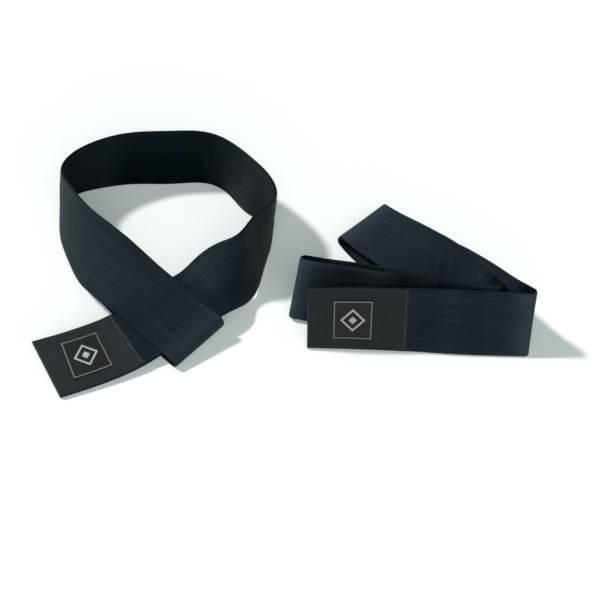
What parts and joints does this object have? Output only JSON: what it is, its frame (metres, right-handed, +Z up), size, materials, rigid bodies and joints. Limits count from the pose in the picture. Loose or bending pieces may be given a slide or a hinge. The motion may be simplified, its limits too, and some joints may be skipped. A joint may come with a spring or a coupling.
{
  "type": "wrist lifting straps",
  "caption": "Webbing wrist lifting straps with sewn eyes and labelled tails, shown threaded into an adjustable wrist loop and folded up for storage.",
  "frame": {"origin": "on the floor under the middle of the pair's bounding box", "axes": "+X from the threaded strap towards the folded strap, +Y away from the labelled front, +Z up from the floor"},
  "size_m": [0.2758, 0.1864, 0.0386],
  "materials": {
    "webbing": "matt black woven polyester webbing",
    "cover_cloth": "matt charcoal ribbed woven cloth",
    "label_cloth": "dark woven label with a thin silver border",
    "thread": "dark polyester sewing thread"
  },
  "bodies": {
    "wrist_loop": {"threaded_eye_web": "webbing", "threaded_left_web": "webbing", "threaded_eye_stitching": "thread", "threaded_back_web": "webbing", "threaded_draw_web": "webbing", "threaded_through_web": "webbing", "threaded_run_out_web": "webbing"},
    "loop_side": {"threaded_side_web": "webbing"},
    "threaded_tail": {"threaded_tail_web": "webbing", "threaded_tail_cover": "cover_cloth", "threaded_label": "label_cloth", "threaded_cover_stitching": "thread", "threaded_label_stitching": "thread"},
    "folded_middle": {"folded_inner_web": "webbing", "folded_mid_fold": "webbing", "folded_back_web": "webbing", "folded_inner_fold": "webbing", "folded_outer_fold": "webbing"},
    "folded_front": {"folded_front_web": "webbing", "folded_tail_cover": "cover_cloth", "folded_label": "label_cloth", "folded_cover_stitching": "thread", "folded_label_stitching": "thread"},
    "folded_loop": {"folded_loop_web": "webbing", "folded_eye_web": "webbing", "folded_eye_stitching": "thread"}
  },
  "joints": [
    {"name": "wrist_loop_cinch", "type": "slide", "parent": "wrist_loop", "child": "loop_side", "axis": [-0.8, -0.6, 0], "range_m": [0, 0.045], "deforming": ["threaded_back_web", "threaded_draw_web"]},
    {"name": "tail_draw", "type": "slide", "parent": "wrist_loop", "child": "threaded_tail", "axis": [-0.8319, -0.5549, 0], "range_m": [0, 0.069], "deforming": ["threaded_run_out_web"]},
    {"name": "folded_strap_lift", "type": "slide", "parent": "wrist_loop", "child": "folded_middle", "axis": [0, 0, 1], "range_m": [0, 0.1]},
    {"name": "front_run_open", "type": "hinge", "parent": "folded_middle", "child": "folded_front", "pos_m": [0.13473, -0.0541, 0.01847], "axis": [0.0589, 0.293, 0.9543], "range_deg": [0, 140], "deforming": ["folded_outer_fold"]},
    {"name": "loop_run_open", "type": "hinge", "parent": "folded_middle", "child": "folded_loop", "pos_m": [0.11535, -0.04775, 0.01839], "axis": [0.1458, 0.2898, 0.9459], "range_deg": [0, 70], "deforming": ["folded_inner_fold"]}
  ],
  "couplings": [
    {"joint": "tail_draw", "follows": "wrist_loop_cinch", "ratio": 1.53},
    {"joint": "loop_run_open", "follows": "front_run_open", "ratio": 0.5}
  ]
}
